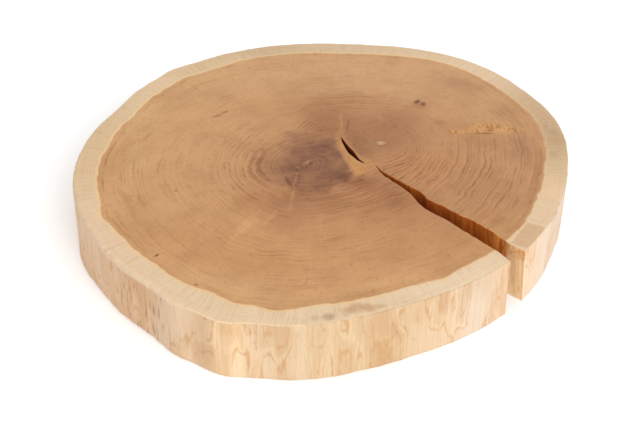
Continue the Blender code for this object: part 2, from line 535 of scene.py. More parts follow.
model = vertices.copy()
model[:, :2] += MIDDLE
faces = [face for part in (ribbon_quads, slit_quads, top_faces, foot_faces)
         for face in part.tolist()]
mesh = bpy.data.meshes.new("oak_slice")
mesh.from_pydata((model * MM).tolist(), [], faces)
mesh.shade_smooth()
mesh.set_sharp_from_angle(angle=math.radians(SHARP_FROM))
slice_piece = bpy.data.objects.new("oak_slice", mesh)
bpy.context.scene.collection.objects.link(slice_piece)
triangles = 2 * (len(ribbon_quads) + len(slit_quads)) + len(top_faces) + len(foot_faces)
euler = len(mesh.vertices) - len(mesh.edges) + len(mesh.polygons)
print("mesh:", len(mesh.vertices), "points,", triangles, "triangles")
print("points - edges + faces:", euler, "(0 is right for one closed piece with one hole)")

# %% [markdown]
# ## What each point of the wood knows
#
# The nodes need facts about the tree: how far the sapwood reaches in at each bearing, how
# wide the trunk is there, and the large soft changes of colour. Bearings are awkward in
# nodes, so numpy works these out once for each point of the mesh and stores them as
# attributes. A shader then reads them and adds the fine detail.
#
# The soft colours are laid on like washes: a ground colour, then patches, each with a
# place, two spreads, a turn, a colour and a strength. Colours are written as on a paint
# chart, 0 to 255. `paint` turns them into the light that bare wood reflects in this studio,
# where the upper face gets a little more than full light.

# %% Colours of the washes
TOP_LIGHT = 1.13


def paint(red, green, blue):
    """A chart colour as the share of light that the wood sends back."""
    shares = np.array((red, green, blue), float) / 255.0
    linear = np.where(shares <= 0.04045, shares / 12.92, ((shares + 0.055) / 1.055) ** 2.4)
    return linear / TOP_LIGHT


HEART_GROUND = paint(202, 153, 104)
HEART_WASHES = (
    # Place, spreads, turn, colour, strength.
    ((20, 130), (120, 45), 0, (207, 160, 115), 0.9),
    ((-120, 40), (60, 80), 0, (204, 156, 106), 0.8),
    ((-60, -110), (90, 50), 0, (206, 154, 102), 0.8),
    ((20, -105), (60, 30), 0, (199, 147, 98), 0.7),
    ((70, -110), (40, 30), 20, (196, 143, 95), 0.7),
    ((110, -20), (50, 70), 0, (190, 139, 96), 0.9),
    ((125, -32), (20, 32), -10, (181, 129, 87), 0.6),
    ((162, 22), (11, 32), 0, (174, 126, 88), 0.7),
    ((160, -45), (14, 30), -25, (178, 128, 88), 0.6),
    ((95, 60), (14, 12), 0, (184, 134, 92), 0.6),
    ((60, 66), (16, 12), 0, (178, 128, 90), 0.7),
    ((48, 34), (28, 28), 0, (178, 128, 94), 0.6),
    ((58, 8), (26, 12), 20, (196, 144, 100), 0.6),
    ((120, 124), (24, 9), -25, (186, 138, 98), 0.7),
    ((152, 82), (12, 14), 0, (184, 136, 96), 0.6),
    ((24, 99), (34, 13), -6, (186, 137, 95), 0.7),
    ((0, 78), (20, 22), 0, (186, 132, 88), 0.7),
    ((2, 50), (14, 18), 0, (184, 126, 84), 0.7),
    ((-18, -12), (44, 44), 0, (178, 126, 88), 0.7),
    ((-50, 12), (16, 18), 0, (178, 124, 84), 0.6),
    ((35, -36), (34, 15), -10, (182, 128, 84), 0.7),
    ((-20, -62), (34, 14), 0, (188, 136, 92), 0.6),
    ((60, -72), (26, 26), 0, (192, 140, 94), 0.5),
    ((-85, 0), (24, 50), 0, (201, 150, 102), 0.5),
    ((28, 52), (44, 26), 0, (172, 119, 80), 0.75),
    ((14, 80), (28, 16), 0, (182, 128, 88), 0.6),
    ((78, 78), (20, 18), 0, (190, 139, 97), 0.5),
    ((0, 125), (22, 14), 0, (198, 149, 103), 0.6),
    ((12, -50), (50, 14), 0, (180, 126, 84), 0.8),
    ((48, -38), (26, 22), -20, (168, 114, 74), 0.75),
    ((80, -14), (22, 32), 0, (186, 131, 88), 0.6),
    ((-24, -74), (18, 12), 0, (184, 132, 90), 0.6),
    ((-38, -126), (32, 12), -8, (196, 142, 93), 0.5),
    ((28, -152), (56, 13), 8, (208, 158, 108), 0.7),
    ((2, 27), (16, 12), 0, (146, 98, 68), 0.7),
    ((34, 52), (34, 20), 0, (164, 112, 76), 0.5),
    ((28, -28), (24, 12), -20, (158, 106, 70), 0.6),
    ((60, -62), (36, 22), -30, (178, 126, 82), 0.6),
    ((-75, 158), (40, 14), 20, (208, 162, 112), 0.8),
    ((-72, -150), (30, 10), -25, (212, 166, 116), 0.8),
    ((15, 10), (80, 75), 0, (182, 127, 80), 0.3),
    ((50, -2), (24, 16), 0, (178, 120, 74), 0.55),
    ((60, 28), (22, 16), 0, (168, 115, 74), 0.5),
    ((76, 0), (18, 22), 0, (180, 125, 77), 0.5),
    ((28, 22), (12, 20), 30, (150, 100, 64), 0.8),
    ((10, 47), (12, 10), 0, (152, 100, 66), 0.5),
    ((0, 62), (18, 14), 0, (164, 110, 70), 0.6),
    ((52, 48), (26, 18), 0, (160, 107, 67), 0.6),
    ((76, 76), (18, 16), 0, (175, 123, 79), 0.6),
    ((2, 82), (32, 13), 0, (174, 120, 74), 0.55),
    ((28, 100), (26, 9), 0, (182, 128, 82), 0.5),
    ((-50, 84), (24, 22), 0, (191, 139, 91), 0.6),
    ((-22, 124), (22, 14), 0, (191, 142, 95), 0.6),
    ((55, 126), (30, 12), 0, (196, 149, 101), 0.5),
    ((125, 46), (17, 12), 0, (184, 134, 86), 0.6),
    ((10, -52), (46, 13), 0, (168, 114, 74), 0.6),
    ((58, -50), (18, 12), -30, (162, 105, 62), 0.6),
    ((-24, -68), (16, 20), 0, (174, 120, 79), 0.7),
    ((-52, -50), (17, 20), 0, (186, 132, 84), 0.6),
    ((-50, -22), (13, 17), 0, (182, 128, 85), 0.5),
    ((50, -78), (26, 14), 0, (182, 128, 80), 0.5),
    ((125, -76), (18, 14), -35, (182, 128, 79), 0.6),
    ((98, -100), (20, 12), -35, (184, 130, 79), 0.6),
    ((-58, -122), (34, 13), 0, (193, 140, 88), 0.5),
    ((52, -140), (28, 13), -10, (211, 160, 110), 0.6),
    ((-100, 126), (25, 15), 35, (212, 167, 115), 0.5),
    ((-150, 78), (14, 26), -20, (213, 169, 117), 0.6),
    ((-152, 0), (14, 32), 0, (213, 167, 115), 0.6),
    ((20, -95), (110, 55), 0, (190, 136, 84), 0.25),
    ((28, -26), (16, 10), -20, (150, 92, 52), 0.7),
    ((-27, -50), (12, 13), 0, (160, 106, 68), 0.5),
    ((125, 36), (20, 22), 0, (184, 132, 84), 0.4),
    ((52, 102), (14, 10), 0, (206, 154, 106), 0.5),
    ((100, 76), (12, 12), 0, (210, 160, 110), 0.5),
    ((50, -149), (26, 10), 8, (222, 172, 118), 0.5),
    ((100, 2), (14, 12), 0, (202, 148, 98), 0.5),
    ((-24, -124), (20, 12), 0, (212, 160, 106), 0.4),
)
SAP_GROUND = paint(231, 201, 164)
SAP_WASHES = (
    ((0, 190), (130, 40), 0, (217, 187, 149), 0.9),
    ((-110, 160), (50, 40), 0, (217, 187, 144), 0.8),
    ((-185, 40), (40, 90), 0, (216, 184, 142), 0.9),
    ((-160, -95), (30, 40), 0, (231, 198, 163), 0.9),
    ((190, 20), (40, 60), 0, (212, 182, 142), 0.9),
    ((180, -45), (16, 26), 0, (236, 201, 161), 0.9),
    ((178, 76), (30, 58), 0, (201, 165, 126), 0.8),
    ((190, 36), (14, 22), 0, (196, 160, 122), 0.8),
    ((-55, 184), (45, 16), 0, (205, 174, 137), 0.8),
    ((90, -150), (60, 30), 0, (238, 212, 176), 0.9),
    ((-20, -190), (60, 20), 0, (234, 204, 166), 0.8),
)
SIDE_GROUND = paint(218, 187, 155)
SIDE_WASHES = (
    ((-185, -70), (50, 80), 0, (223, 188, 152), 0.9),
    ((-140, -130), (30, 30), 0, (216, 178, 140), 0.6),
    ((30, -200), (120, 50), 0, (206, 181, 147), 0.9),
    ((60, -195), (60, 40), 0, (200, 172, 135), 0.8),
    ((112, -150), (26, 26), 0, (209, 189, 167), 0.8),
    ((180, -60), (36, 60), 0, (215, 196, 178), 0.9),
    ((-74, -195), (4, 8), 0, (246, 220, 180), 0.8),
    ((-60, -199), (5, 8), 0, (244, 216, 174), 0.7),
    ((-67, -197), (2.5, 8), 0, (212, 174, 130), 0.6),
)


def washed(points, ground, washes):
    """Colours at plan points: a ground colour under soft patches."""
    colours = np.tile(ground, (len(points), 1))
    for place, spreads, turn, colour, strength in washes:
        angle = math.radians(turn)
        dx, dy = points[:, 0] - place[0], points[:, 1] - place[1]
        u = (dx * math.cos(angle) + dy * math.sin(angle)) / spreads[0]
        v = (dy * math.cos(angle) - dx * math.sin(angle)) / spreads[1]
        share = (strength * np.exp(-(u * u + v * v)))[:, None]
        colours = colours + share * (paint(*colour) - colours)
    return colours


print("washes:", len(HEART_WASHES), "on the heart,", len(SAP_WASHES), "on the sapwood,",
      len(SIDE_WASHES), "on the side")

# %% Sapwood, reach and the facts kept on the mesh
SAP_WIDTH = 17.3
SAP_SWELLS = (
    (0, 0.6, 14), (58, -1.5, 8), (85, 1.6, 12), (130, 2.5, 14), (175, 2.4, 15), (203, -3.6, 4),
    (216, 1.0, 6), (245, 5.4, 9), (260, -2.6, 4), (268, 3.2, 6), (301, -3.0, 5), (318, -1.6, 5),
    (334, -0.6, 6), (350, 0.8, 7),
)
HEART_LEFT, HEART_RIGHT = np.array((-19.0, -4.0)), np.array((46.6, 29.0))
SCALLOP_RADIUS = 180.0

plan = vertices[:, :2]
bearing = bearing_of(plan)
radius = np.hypot(plan[:, 0], plan[:, 1])
edge = rim_radius(bearing, THICK)
arc = np.radians(bearing)[:, None] * SCALLOP_RADIUS
scallop = 0.7 * hills(arc, 7.0, 81) + 0.3 * hills(arc, 3.1, 82)
sap_width = SAP_WIDTH + swell_sum(bearing, SAP_SWELLS) + scallop
inward = edge - sap_width - radius

rim_spots = spokes * rim_radius(around, THICK)[:, None]
reach_line = np.sqrt(np.linalg.norm(rim_spots - HEART_LEFT, axis=1)
                     * np.linalg.norm(rim_spots - HEART_RIGHT, axis=1))
reach = np.interp(bearing, np.append(around, 360.0), np.append(reach_line, reach_line[0]))
reach = reach_line.mean() + (reach - reach_line.mean()) * rise(radius, 15.0, 90.0)


def keep(name, values):
    """Store one value, or one colour, for each point of the mesh."""
    form = "FLOAT" if values.ndim == 1 else "FLOAT_VECTOR"
    made = mesh.attributes.new(name, form, "POINT")
    made.data.foreach_set("value" if values.ndim == 1 else "vector",
                          np.ascontiguousarray(values, dtype=np.float32).ravel())


peel = np.zeros(len(plan))
peel[:len(ribbon)] = peeled_patches(run_grid, heights).ravel()
keep("peel", peel)
keep("inward", inward)
keep("reach", reach)
keep("heart_colour", washed(plan, HEART_GROUND, HEART_WASHES))
keep("sap_colour", washed(plan, SAP_GROUND, SAP_WASHES))
keep("side_colour", washed(plan, SIDE_GROUND, SIDE_WASHES))
print("sapwood, mm wide:", np.round((sap_width.min(), sap_width.max()), 1))

# %% [markdown]
# ## Areas with an edge of their own
#
# A wash has no edge. The dark stain at the left heart does: it stops short at the pale
# resin seam beside the slit. Such an area is drawn as an outline, and each point of the
# mesh keeps its distance inside that outline. A shader can then cut the area sharply or
# softly, and add noise to the distance to make the edge ragged.
#
# Three more facts are how clearly the rings show, where they ripple and where a few years
# stand out boldly. Around the hearts and in the small block they are clear, elsewhere the
# sander has left them faint. These are soft ovals, since they have no edge.

# %% Areas and clear rings
AREAS = {
    "stain": ((-26, 43), (-10, 40), (0, 36), (8, 33), (11, 22), (14, 13), (18, 3), (21, -8),
              (22, -17), (18, -25), (8, -31), (0, -40), (-10, -45), (-18, -42), (-25, -34),
              (-34, -27), (-44, -20), (-51, -8), (-50, 4), (-40, 10), (-32, 18), (-31, 32)),
    "seam": ((14, 78), (13.5, 62), (12, 52), (9, 45), (10, 36), (13, 22), (18, 4), (22, -8),
             (25, -20), (29, -17), (34, -13), (41, -5), (48, -1), (42, 3), (34, 8), (28, 15),
             (24, 25), (21.5, 34), (19, 42), (17, 50), (17, 62), (16, 78)),
    "torn": ((100, 43), (104, 52), (113, 50), (122, 57), (132, 63), (143, 61), (152, 55),
             (163, 53), (168, 48), (160, 43), (145, 44), (122, 42.5), (110, 42)),
    "lens": ((11, -177), (20, -173), (30, -170), (43, -175), (32, -181), (14, -184)),
    "plug": ((151, -79), (164, -85), (148, -112), (136, -104)),
}
# Ovals: place, spreads and strength.
CLEAR_GROUND, CLEAR_FALL = 0.3, 0.7
CLEAR_RINGS = (
    ((-20, -5), (85, 80), 0.55), ((60, -20), (60, 45), 0.9), ((130, -20), (40, 60), 1.0),
    ((20, -50), (60, 25), 0.9), ((48, 34), (34, 34), 0.7), ((20, 98), (34, 16), 0.9),
    ((-62, -10), (24, 60), 1.0), ((-10, -120), (120, 45), 0.55), ((-150, 0), (40, 80), 0.5),
)
RIPPLES = (
    ((74, -8), (24, 30), 1.0), ((34, -44), (34, 11), 0.7), ((-60, -20), (16, 45), 0.35),
)
BOLD_RINGS = (
    ((-58, -12), (15, 48), 0.75), ((20, -54), (45, 12), 0.6), ((22, 92), (34, 12), 0.75),
    ((118, -22), (17, 46), 0.85), ((162, 0), (12, 60), 0.65), ((150, 70), (12, 30), 0.5),
)
FAR_INSIDE = 20.0


def distance_inside(points, outline):
    """Distance to an outline, positive inside it."""
    outline = np.array(outline, float)
    nearest = np.full(len(points), 1e9)
    for start, end in zip(outline, np.roll(outline, -1, axis=0)):
        side = end - start
        share = np.clip(((points - start) @ side) / (side @ side), 0.0, 1.0)
        gap = points - (start + share[:, None] * side)
        nearest = np.minimum(nearest, np.hypot(gap[:, 0], gap[:, 1]))
    return np.where(inside_loop(points, outline), nearest, -nearest)


def zones(ovals, ground=0.0, fall=1.0):
    """A soft share: highest in the middle of each oval, and the ground value elsewhere."""
    total = np.full(len(plan), ground)
    for place, spreads, strength in ovals:
        offset = (plan - place) / spreads
        total = np.maximum(total, strength * np.exp(-(offset ** 2).sum(1) * fall))
    return total


for name, outline in AREAS.items():
    keep(name, np.clip(distance_inside(plan, outline), -FAR_INSIDE, FAR_INSIDE))
keep("clear", zones(CLEAR_RINGS, CLEAR_GROUND, CLEAR_FALL))
keep("ripple", zones(RIPPLES))
keep("bold", zones(BOLD_RINGS))
print("areas:", list(AREAS))

# %% [markdown]
# ## Shader sums as plain Python
#
# A material in Blender is a web of nodes, and its sums are slow to read as nodes. This
# small class wraps one output of a node, so that `1 - mask * 0.5` adds the Math nodes by
# itself. `node` adds any other kind of node: its settings first, then its sockets.

# %% A value in a material
BARE_WOOD_SHINE = 0.35


class Value:
    """One output of a node, which Python's signs can work on."""

    def __init__(self, shader, socket):
        self.shader, self.socket = shader, socket

    def maths(self, operation, *others):
        settings = {"operation": operation}
        return self.shader.node("ShaderNodeMath", settings, dict(enumerate((self,) + others)))

    def __add__(self, other):
        return self.maths("ADD", other)

    def __sub__(self, other):
        return self.maths("SUBTRACT", other)

    def __rsub__(self, other):
        return (self * -1.0) + other

    def __mul__(self, other):
        return self.maths("MULTIPLY", other)

    def __truediv__(self, other):
        return self.maths("DIVIDE", other)

    def __pow__(self, other):
        return self.maths("POWER", other)

    __radd__, __rmul__ = __add__, __mul__

    def rise(self, start, end):
        """0 below start, 1 above end, and eased in between."""
        settings = {"interpolation_type": "SMOOTHSTEP"}
        return self.shader.node("ShaderNodeMapRange", settings, {0: self, 1: start, 2: end})

    def band(self, middle, half):
        """1 at the middle, falling to 0 at half a width away."""
        return 1.0 - (self - middle).maths("ABSOLUTE").rise(0.0, half)


print("values can be added, multiplied and eased")

# %% A material made by a few methods
class Shader:
    """A material whose nodes are added by these few methods."""

    def __init__(self, name):
        self.material = bpy.data.materials.new(name)
        self.material.use_nodes = True
        self.tree = self.material.node_tree
        self.skin = self.tree.nodes["Principled BSDF"]

    def node(self, kind, settings=None, sockets=None, output=0):
        made = self.tree.nodes.new(kind)
        for name, value in (settings or {}).items():
            setattr(made, name, value)
        for name, value in (sockets or {}).items():
            self.feed(made.inputs[name], value)
        return Value(self, made.outputs[output])

    def feed(self, socket, value):
        if isinstance(value, Value):
            self.tree.links.new(value.socket, socket)
        else:
            socket.default_value = value

    def vector(self, operation, *sockets):
        settings = {"operation": operation}
        return self.node("ShaderNodeVectorMath", settings, dict(enumerate(sockets)))

    def scaled(self, vector, size):
        settings = {"operation": "SCALE"}
        return self.node("ShaderNodeVectorMath", settings, {0: vector, "Scale": size})

    def join(self, x, y, z):
        return self.node("ShaderNodeCombineXYZ", {}, {0: x, 1: y, 2: z})

    def split(self, vector):
        first = self.node("ShaderNodeSeparateXYZ", {}, {0: vector})
        outputs = first.socket.node.outputs
        return [Value(self, outputs[axis]) for axis in range(3)]

    def noise(self, vector, size, detail=2.0, output="Fac", rough=0.5):
        sockets = {"Vector": vector, "Scale": 1.0 / size, "Detail": detail, "Roughness": rough}
        return self.node("ShaderNodeTexNoise", {"noise_dimensions": "3D"}, sockets, output)

    def noise_line(self, value, size, detail=2.0):
        sockets = {"W": value, "Scale": 1.0 / size, "Detail": detail}
        return self.node("ShaderNodeTexNoise", {"noise_dimensions": "1D"}, sockets)

    def mix(self, under, over, share):
        settings = {"data_type": "RGBA"}
        return self.node("ShaderNodeMix", settings, {0: share, 6: under, 7: over}, 2)

    def tinted(self, colour, tint, share):
        """A colour multiplied by a tint, as far as the share says."""
        return self.mix(colour, self.vector("MULTIPLY", colour, tint), share)

    def layered(self, colour, *coats):
        """A colour under several coats, each a tint and its share, laid on in turn."""
        for tint, share in coats:
            colour = self.tinted(colour, tint, share)
        return colour

    def known(self, name, output="Fac"):
        """A fact stored on the mesh."""
        return self.node("ShaderNodeAttribute", {"attribute_name": name}, {}, output)

    def place(self):
        """Where a point lies, in millimetres from the trunk's middle."""
        model_place = self.node("ShaderNodeTexCoord", output="Object")
        shift = (float(-MIDDLE[0]), float(-MIDDLE[1]), 0.0)
        return self.vector("ADD", self.scaled(model_place, 1.0 / MM), shift)

    def finish(self, colour, rough, height, depth):
        """Colour, roughness and a bump whose full height is the depth in millimetres."""
        bump = self.node("ShaderNodeBump", {}, {"Strength": 1.0, "Distance": depth * MM,
                                                "Height": height}, "Normal")
        for name, value in (("Base Color", colour), ("Roughness", rough), ("Normal", bump)):
            self.feed(self.skin.inputs[name], value)
        self.skin.inputs["Specular IOR Level"].default_value = BARE_WOOD_SHINE
        return self.material


print("shader tools are ready")

# %% [markdown]
# ## End grain
#
# On the sawn face the tree's whole life shows. The rings follow two hearts: a product of
# the distances to both gives ovals that part round each heart and join further out, as the
# trunk's rings do. The same product, taken as complex numbers, also gives the direction of
# the rays, which always cross the rings. So one short sum drives both.
#
# Oak is ring-porous. Each year starts with a line of open pores, which looks darker, and
# ends in dense, paler wood. Good and poor years differ, so each ring gets its own strength.

# %% Rings and rays
RINGS = 56.0


def heart_sums(shader, spot):
    """Ring number, and a direction that turns once round the hearts for each half turn."""
    x, y, _ = shader.split(spot)
    ax, ay = x - float(HEART_LEFT[0]), y - float(HEART_LEFT[1])
    bx, by = x - float(HEART_RIGHT[0]), y - float(HEART_RIGHT[1])
    zx, zy = ax * bx - ay * by, ax * by + ay * bx
    size = (zx * zx + zy * zy + 0.01) ** 0.5
    share = (size ** 0.5) / shader.known("reach")
    return share, zx / size, zy / size


def wander(shader, place, size, amount, detail=2.0):
    """A place pushed about by noise."""
    push = shader.noise(place, size, detail, "Color")
    push = shader.vector("SUBTRACT", push, (0.5, 0.5, 0.5))
    return shader.vector("ADD", place, shader.scaled(push, amount))


def sawn_face(wood):
    """What the layers of the sawn face share: places, years, rays and noises."""
    place = wood.place()
    x, y, z = wood.split(place)
    ripple = wood.known("ripple")
    spot = wander(wood, place, 55.0, 9.0)
    spot = wander(wood, spot, 12.0, 2.2 + ripple * 9.0)
    spot = wander(wood, spot, 4.0, 0.6 + ripple * 1.5)
    share, turn_x, turn_y = heart_sums(wood, spot)

    def grain(turns, rings, detail=2.0):
        """Noise that runs along the rings, or across them where turns are many."""
        return wood.noise(wood.join(turn_x * turns, turn_y * turns, share * rings), 1.0, detail)

    age = share * RINGS
    age = age + (wood.noise_line(age, 7.0) - 0.5) * 5.0 + (wood.noise(place, 26.0) - 0.5) * 1.2
    year = age.maths("FLOOR")
    part = age - year
    luck = wood.node("ShaderNodeTexWhiteNoise", {"noise_dimensions": "1D"}, {"W": year})
    return SimpleNamespace(
        place=place, x=x, y=y, z=z, spot=spot, ripple=ripple, grain=grain, age=age, part=part,
        early=part.rise(0.0, 0.12) * (1.0 - part.rise(0.18, 0.6)) * (luck * 0.8 + 0.2),
        late=part.rise(0.55, 0.8) * (1.0 - part.rise(0.85, 1.0)) * (1.0 - luck),
        stretch=grain(4.5, 42.0), rays=grain(84.0, 15.0),
        speck=wood.noise(place, 1.6, 3.0, rough=0.7),
        cloud=wood.noise(place, 30.0, 4.0, rough=0.6),
        smoke=wood.noise(place, 15.0, 3.0),
    )


print("rings from the hearts to the rim:", RINGS)

# %% [markdown]
# ## Heartwood
#
# The brown heart starts from its washed colour. Clouds come first, then each year's early
# and late wood where the rings are clear, then the ripples beside the crack, a few bold
# years, and last the short dashes and rays. A coat is a tint that multiplies the colour,
# so fine lines never lose the colour under them.

# %% Heartwood
def heartwood(wood, face):
    """Brown wood, with its rings drawn where the sander left them clear."""
    clear = wood.known("clear") * (face.stretch.rise(0.40, 0.62) * 0.95 + 0.12)
    era = wood.noise_line(face.age, 3.4, 3.0)
    rippled = face.ripple.rise(0.15, 0.6)
    bold_line = wood.noise_line(face.age, 1.15, 1.0)
    bold = wood.known("bold") * (face.stretch.rise(0.30, 0.46) * 0.6 + 0.4)
    return wood.layered(
        wood.known("heart_colour", "Color"),
        ((0.86, 0.80, 0.74), face.cloud.rise(0.44, 0.70) * 0.6),
        ((1.08, 1.08, 1.06), face.cloud.rise(0.50, 0.32) * 0.6),
        ((0.72, 0.62, 0.54), face.early * clear),
        ((1.16, 1.18, 1.16), face.late * clear),
        ((0.80, 0.72, 0.66), era.rise(0.5, 0.70) * clear * 0.8),
        ((0.68, 0.55, 0.45), face.early * rippled * 0.45),
        ((1.22, 1.24, 1.20), face.late * rippled * 0.5),
        ((0.70, 0.58, 0.50), bold_line.rise(0.56, 0.68) * bold),
        ((1.10, 1.12, 1.10), bold_line.rise(0.44, 0.34) * bold * 0.8),
        ((0.86, 0.79, 0.72), face.stretch.rise(0.53, 0.68) * 0.28),
        ((1.05, 1.07, 1.07), face.stretch.rise(0.47, 0.32) * 0.3),
        ((0.74, 0.64, 0.54), face.grain(40.0, 46.0).rise(0.58, 0.74) * 0.5),
        ((1.10, 1.11, 1.12), face.rays.rise(0.56, 0.74) * 0.5),
        ((1.07, 1.09, 1.12), face.grain(26.0, 5.0, 3.0).rise(0.56, 0.72) * 0.5),
    )


# %% [markdown]
# ## Torn grain, stain and seam
#
# Three patches of the heart have a border of their own. Beside the right heart the saw tore
# the grain up in short golden curls. Round the left heart iron or fungus has stained the
# wood a dull purple brown: its edge is sharp against the seam and smoky on the other side.
# The seam is a golden strip beside the slit.
#
# Each reads its distance attribute, adds noise to it for a ragged edge, and eases that into
# a share.

# %% Torn grain
def torn_grain(wood, face, heart):
    """Short golden curls where the saw tore the grain."""
    torn = wood.known("torn") + (wood.noise(face.place, 5.0) - 0.5) * 7.0
    flattened = wood.join(face.x, face.y * 0.4, face.z)
    curls = wood.noise(wander(wood, flattened, 5.0, 5.0), 3.2)
    return wood.layered(
        heart,
        ((1.12, 1.10, 0.94), torn.rise(-3.0, 6.0) * 0.9),
        ((1.18, 1.18, 1.04), torn.rise(-1.0, 6.0) * curls.rise(0.50, 0.40) * 0.9),
        ((0.70, 0.58, 0.44), torn.rise(-1.0, 4.0) * curls.rise(0.54, 0.64) * 0.8),
    )


# %% Stain
def stained(wood, face, heart):
    """The dark stain round the left heart."""
    inside = wood.known("stain") + (wood.noise(face.place, 10.0, 3.0) - 0.5) * 9.0
    smoky = 1.0 - face.x.rise(-6.0, 10.0)
    stain = wood.node("ShaderNodeMapRange", {}, {0: inside, 1: -2.0 - 6.0 * smoky,
                                                 2: 1.0 + 9.0 * smoky})
    stain = stain * (face.x.rise(-50.0, -22.0) * 0.35 + 0.65)
    return wood.layered(
        heart,
        ((0.66, 0.59, 0.60), stain * 0.92),
        ((0.76, 0.70, 0.74), stain * face.smoke.rise(0.40, 0.62) * 0.95),
        ((0.80, 0.72, 0.68), stain * face.early * 0.5),
        ((1.10, 1.12, 1.12), stain * face.rays.rise(0.52, 0.70) * 0.6),
        ((0.82, 0.78, 0.80), stain * face.speck.rise(0.50, 0.70) * 0.6),
    )


# %% Seam beside the slit
def chart(red, green, blue):
    """A chart colour as a socket takes it, with its alpha."""
    return tuple(paint(red, green, blue)) + (1.0,)


def seamed(wood, face, heart):
    """Golden wood beside the slit, streaked along its length."""
    x, y = face.x, face.y
    inside = wood.known("seam") + (wood.noise(face.place, 6.0, 3.0) - 0.5) * 7.0
    threads = wood.noise(wood.join(x + y * 0.35, 0.0, y * 0.12), 1.8, 2.0)
    seam = inside.rise(-1.5, 3.5) * (0.82 - (x + y * 0.5).rise(24.0, 36.0) * 0.42)
    return wood.layered(
        wood.mix(heart, chart(202, 145, 85), seam),
        ((0.78, 0.66, 0.52), seam * threads.rise(0.50, 0.68) * 0.7),
        ((1.14, 1.14, 1.08), seam * threads.rise(0.48, 0.34) * 0.6),
    )


# %% [markdown]
# ## Sapwood
#
# The sapwood is pale and carries fine grey hairs, which are its rays, across the rings. It
# also holds two darker places: a soft brown lens at the front, and a square patch beside
# the crack's mouth that the sander reached less.

# %% Sapwood
def sapwood(wood, face):
    """The pale band under the bark."""
    hair = face.grain(120.0, 9.0, 3.0)
    hairy = wood.noise(face.place, 17.0, 1.0).rise(0.42, 0.60) * 0.6 + 0.35
    lens = wood.known("lens") + (wood.noise(face.place, 6.0, 3.0) - 0.5) * 8.0
    plug = wood.known("plug") + (wood.noise(face.place, 5.0) - 0.5) * 1.5
    return wood.layered(
        wood.known("sap_colour", "Color"),
        ((0.78, 0.77, 0.75), hair.rise(0.50, 0.66) * hairy * 0.7),
        ((1.06, 1.07, 1.08), hair.rise(0.48, 0.32) * 0.5),
        ((0.92, 0.88, 0.84), face.early * 0.4),
        ((0.94, 0.92, 0.92), face.cloud.rise(0.45, 0.62) * 0.3),
        ((1.02, 0.98, 0.97), face.smoke.rise(0.50, 0.64) * 0.5),
        ((0.76, 0.63, 0.53), lens.rise(-2.0, 4.5) * 0.9),
        ((0.84, 0.75, 0.67), plug.rise(-0.4, 1.0) * 0.9),
    )


# %% Border between sapwood and heartwood
def bordered(wood, face, sap, heart):
    """Sapwood and heartwood joined, with a cream line and thin brown lines inside it."""
    x, y = face.x, face.y
    inward = wood.known("inward") + (wood.noise(face.place, 9.0) - 0.5) * 1.8
    patchy = wood.noise(face.place, 18.0, 2.0).rise(0.36, 0.60)
    calm = 1.0 - x.rise(110.0, 160.0) * 0.75
    calm = calm * (1.0 - x.rise(70.0, 110.0) * (y * -1.0).rise(90.0, 125.0) * 0.6)
    lined = face.stretch.rise(0.44, 0.54) * (1.0 - x.rise(-150.0, -90.0) * 0.8)
    cream = inward.band(-0.8, 1.8) * (patchy * 0.5 + 0.5) * calm
    colour = wood.mix(sap, heart, inward.rise(-0.8, 1.2))
    return wood.layered(
        wood.mix(colour, chart(236, 196, 142), cream),
        ((0.92, 0.85, 0.78), inward.band(3.6, 3.2) * (1.05 - calm) * 0.6),
        ((0.88, 0.79, 0.70), inward.band(4.4, 1.1) * lined),
        ((1.08, 1.10, 1.08), inward.band(6.4, 1.2) * lined),
        ((0.90, 0.88, 0.86), face.speck.rise(0.50, 0.72) * 0.6),
    )


# %% [markdown]
# ## Small marks
#
# A knot, a pith, bruises and pale sanding dust are single small things, so each is an oval
# with its own place. A Mapping node turns the oval into a ball of size 1, and the distance
# to its middle gives a soft share. The ovals are thin in height, so they stay on the upper
# face.

